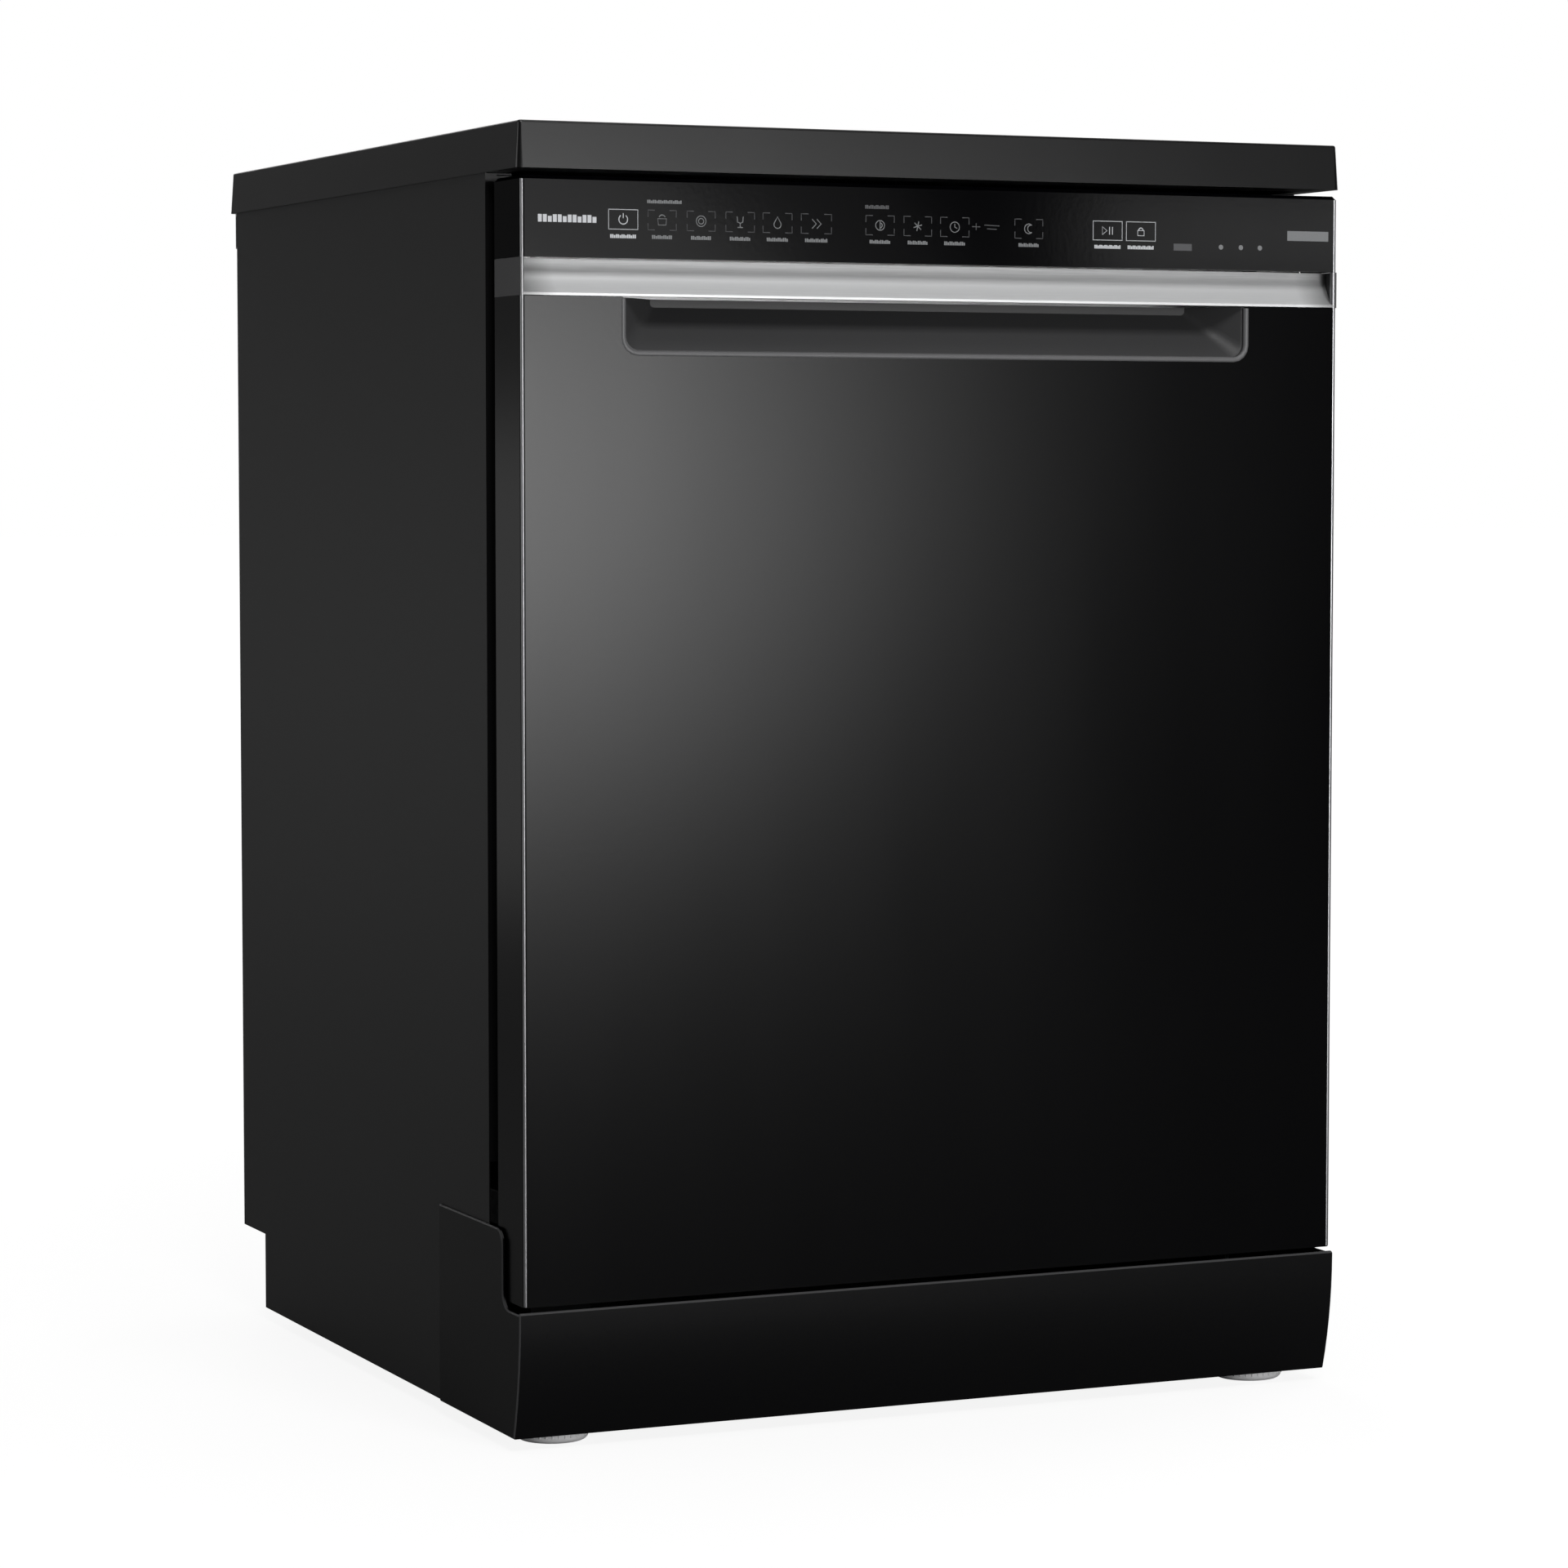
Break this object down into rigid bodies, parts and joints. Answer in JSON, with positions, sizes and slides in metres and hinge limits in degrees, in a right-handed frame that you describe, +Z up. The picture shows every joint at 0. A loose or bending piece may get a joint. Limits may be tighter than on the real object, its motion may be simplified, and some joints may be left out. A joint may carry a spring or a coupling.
{
  "type": "dishwasher",
  "caption": "Freestanding 60 cm dishwasher, drop-down door with touch control strip, recessed handle, racks, spray arms, plinth with side wings, levelling feet.",
  "frame": {"origin": "middle of the footprint at floor level", "axes": "+Z up, -Y towards the user who opens the door, +X to that user's right"},
  "size_m": [0.6, 0.6, 0.85],
  "materials": {
    "worktop_black": "gloss",
    "casing_black": "semi-gloss paint",
    "door_black": "high gloss paint",
    "fascia_black": "high gloss",
    "trim_aluminium": "satin anodised",
    "trim_black": "satin",
    "end_cap_grey": "satin",
    "plinth_black": "fine texture",
    "pocket_grey": "satin",
    "foot_grey": "satin",
    "zinc_sheet": "galvanised",
    "stainless": "satin stainless",
    "base_grey": "moulded",
    "light_grey_plastic": "moulded",
    "rack_wire": "nylon coat",
    "rubber_black": "matt",
    "felt": "felt",
    "spring_steel": "wire",
    "motor_black": "coated",
    "valve_white": "moulded"
  },
  "bodies": {
    "chassis": {"worktop": "worktop_black", "side_panel_left": "casing_black", "side_panel_right": "casing_black", "front_frame": "casing_black", "hinge_brackets": "zinc_sheet", "balance_springs": "spring_steel", "rear_panel": "zinc_sheet", "rear_top_rail": "zinc_sheet", "base_tray": "base_grey", "plinth": "plinth_black", "tub": "stainless", "tub_gasket": "rubber_black", "latch_striker": "zinc_sheet", "air_break": "light_grey_plastic", "sump": "base_grey", "filter_plate": "stainless", "wash_pump_housing": "base_grey", "wash_motor": "motor_black", "drain_pump": "base_grey", "heater": "stainless", "inlet_valve": "valve_white", "drain_outlet": "base_grey", "cable_gland": "trim_black", "feed_pipe": "light_grey_plastic", "fixed_rails": "stainless"},
    "door": {"door_outer_panel": "door_black", "handle_pocket": "pocket_grey", "handle_strip": "trim_aluminium", "strip_end_caps": "end_cap_grey", "control_panel": "fascia_black", "door_inner_liner": "stainless", "door_insulation": "felt", "control_module": "base_grey", "latch_body": "trim_black", "dispenser_body": "light_grey_plastic", "hinge_arms": "zinc_sheet"},
    "latch_lever": {"latch_lever": "light_grey_plastic"},
    "dispenser_lid": {"dispenser_lid": "light_grey_plastic"},
    "rinse_cap": {"rinse_cap": "light_grey_plastic"},
    "lower_rack": {"lower_rack": "rack_wire", "lower_tines": "rack_wire"},
    "wheel_front_left": {"rack_wheel_front_left": "light_grey_plastic"},
    "wheel_rear_left": {"rack_wheel_rear_left": "light_grey_plastic"},
    "wheel_front_right": {"rack_wheel_front_right": "light_grey_plastic"},
    "wheel_rear_right": {"rack_wheel_rear_right": "light_grey_plastic"},
    "upper_rails": {"upper_rails_slide": "stainless"},
    "upper_rack": {"upper_rack": "rack_wire", "upper_arm_feed": "light_grey_plastic"},
    "tray_rails": {"tray_rails_slide": "stainless"},
    "cutlery_tray": {"cutlery_tray": "light_grey_plastic"},
    "lower_spray_arm": {"lower_spray_arm": "light_grey_plastic"},
    "upper_spray_arm": {"upper_spray_arm": "light_grey_plastic"},
    "filter_cup": {"filter_cup": "light_grey_plastic"},
    "pump_impeller": {"pump_impeller": "light_grey_plastic"},
    "drain_impeller": {"drain_impeller": "light_grey_plastic"},
    "float_disc": {"float_disc": "light_grey_plastic"},
    "foot_front_left": {"foot_front_left": "foot_grey"},
    "foot_front_right": {"foot_front_right": "foot_grey"},
    "foot_rear_left": {"foot_rear_left": "foot_grey"},
    "foot_rear_right": {"foot_rear_right": "foot_grey"}
  },
  "joints": [
    {"name": "door_hinge", "type": "hinge", "parent": "chassis", "child": "door", "pos_m": [0, -0.24, 0.15], "axis": [1, 0, 0], "range_deg": [0, 87], "deforming": ["balance_springs"]},
    {"name": "lower_rack_roll", "type": "slide", "parent": "chassis", "child": "lower_rack", "axis": [0, -1, 0], "range_m": [0, 0.12]},
    {"name": "wheel_front_left_spin", "type": "hinge", "parent": "lower_rack", "child": "wheel_front_left", "pos_m": [-0.257, -0.14, 0.1785], "axis": [1, 0, 0], "range_deg": [-10, 400]},
    {"name": "wheel_rear_left_spin", "type": "hinge", "parent": "lower_rack", "child": "wheel_rear_left", "pos_m": [-0.257, 0.15, 0.1785], "axis": [1, 0, 0], "range_deg": [-10, 400]},
    {"name": "wheel_front_right_spin", "type": "hinge", "parent": "lower_rack", "child": "wheel_front_right", "pos_m": [0.257, -0.14, 0.1785], "axis": [1, 0, 0], "range_deg": [-10, 400]},
    {"name": "wheel_rear_right_spin", "type": "hinge", "parent": "lower_rack", "child": "wheel_rear_right", "pos_m": [0.257, 0.15, 0.1785], "axis": [1, 0, 0], "range_deg": [-10, 400]},
    {"name": "upper_rails_slide", "type": "slide", "parent": "chassis", "child": "upper_rails", "axis": [0, -1, 0], "range_m": [0, 0.22]},
    {"name": "upper_rack_slide", "type": "slide", "parent": "chassis", "child": "upper_rack", "axis": [0, -1, 0], "range_m": [0, 0.44]},
    {"name": "tray_rails_slide", "type": "slide", "parent": "chassis", "child": "tray_rails", "axis": [0, -1, 0], "range_m": [0, 0.21]},
    {"name": "cutlery_tray_slide", "type": "slide", "parent": "chassis", "child": "cutlery_tray", "axis": [0, -1, 0], "range_m": [0, 0.41]},
    {"name": "lower_spray_spin", "type": "hinge", "parent": "chassis", "child": "lower_spray_arm", "pos_m": [0, 0.013, 0.17], "axis": [0, 0, 1], "continuous": true},
    {"name": "upper_spray_spin", "type": "hinge", "parent": "upper_rack", "child": "upper_spray_arm", "pos_m": [0, 0, 0.411], "axis": [0, 0, 1], "continuous": true},
    {"name": "filter_lock", "type": "hinge", "parent": "chassis", "child": "filter_cup", "pos_m": [0.045, 0.013, 0.1], "axis": [0, 0, 1], "range_deg": [0, 90]},
    {"name": "wash_pump_spin", "type": "hinge", "parent": "chassis", "child": "pump_impeller", "pos_m": [-0.105, 0.013, 0.092], "axis": [1, 0, 0], "continuous": true},
    {"name": "drain_pump_spin", "type": "hinge", "parent": "chassis", "child": "drain_impeller", "pos_m": [0.101, 0.013, 0.078], "axis": [1, 0, 0], "continuous": true},
    {"name": "float_lift", "type": "slide", "parent": "chassis", "child": "float_disc", "axis": [0, 0, 1], "range_m": [0, 0.01]},
    {"name": "latch_lever_pivot", "type": "hinge", "parent": "door", "child": "latch_lever", "pos_m": [0, -0.27, 0.794], "axis": [1, 0, 0], "range_deg": [-8, 0], "stiffness_Nm_per_rad": 0.05},
    {"name": "dispenser_lid_slide", "type": "slide", "parent": "door", "child": "dispenser_lid", "axis": [-1, 0, 0], "range_m": [0, 0.07]},
    {"name": "rinse_cap_turn", "type": "hinge", "parent": "door", "child": "rinse_cap", "pos_m": [0.042, -0.235, 0.44], "axis": [0, -1, 0], "range_deg": [0, 90]},
    {"name": "foot_front_left_height", "type": "slide", "parent": "chassis", "child": "foot_front_left", "axis": [0, 0, -1], "range_m": [0, 0.025]},
    {"name": "foot_rear_left_height", "type": "slide", "parent": "chassis", "child": "foot_rear_left", "axis": [0, 0, -1], "range_m": [0, 0.025]},
    {"name": "foot_front_right_height", "type": "slide", "parent": "chassis", "child": "foot_front_right", "axis": [0, 0, -1], "range_m": [0, 0.025]},
    {"name": "foot_rear_right_height", "type": "slide", "parent": "chassis", "child": "foot_rear_right", "axis": [0, 0, -1], "range_m": [0, 0.025]}
  ],
  "couplings": [
    {"joint": "lower_rack_roll", "follows": "door_hinge", "m_per_rad": 0.07},
    {"joint": "upper_rails_slide", "follows": "door_hinge", "m_per_rad": 0.137},
    {"joint": "upper_rack_slide", "follows": "door_hinge", "m_per_rad": 0.274},
    {"joint": "tray_rails_slide", "follows": "door_hinge", "m_per_rad": 0.1275},
    {"joint": "cutlery_tray_slide", "follows": "door_hinge", "m_per_rad": 0.255},
    {"joint": "wheel_front_left_spin", "follows": "door_hinge", "ratio": 4.1176},
    {"joint": "wheel_rear_left_spin", "follows": "door_hinge", "ratio": 4.1176},
    {"joint": "wheel_front_right_spin", "follows": "door_hinge", "ratio": 4.1176},
    {"joint": "wheel_rear_right_spin", "follows": "door_hinge", "ratio": 4.1176}
  ]
}
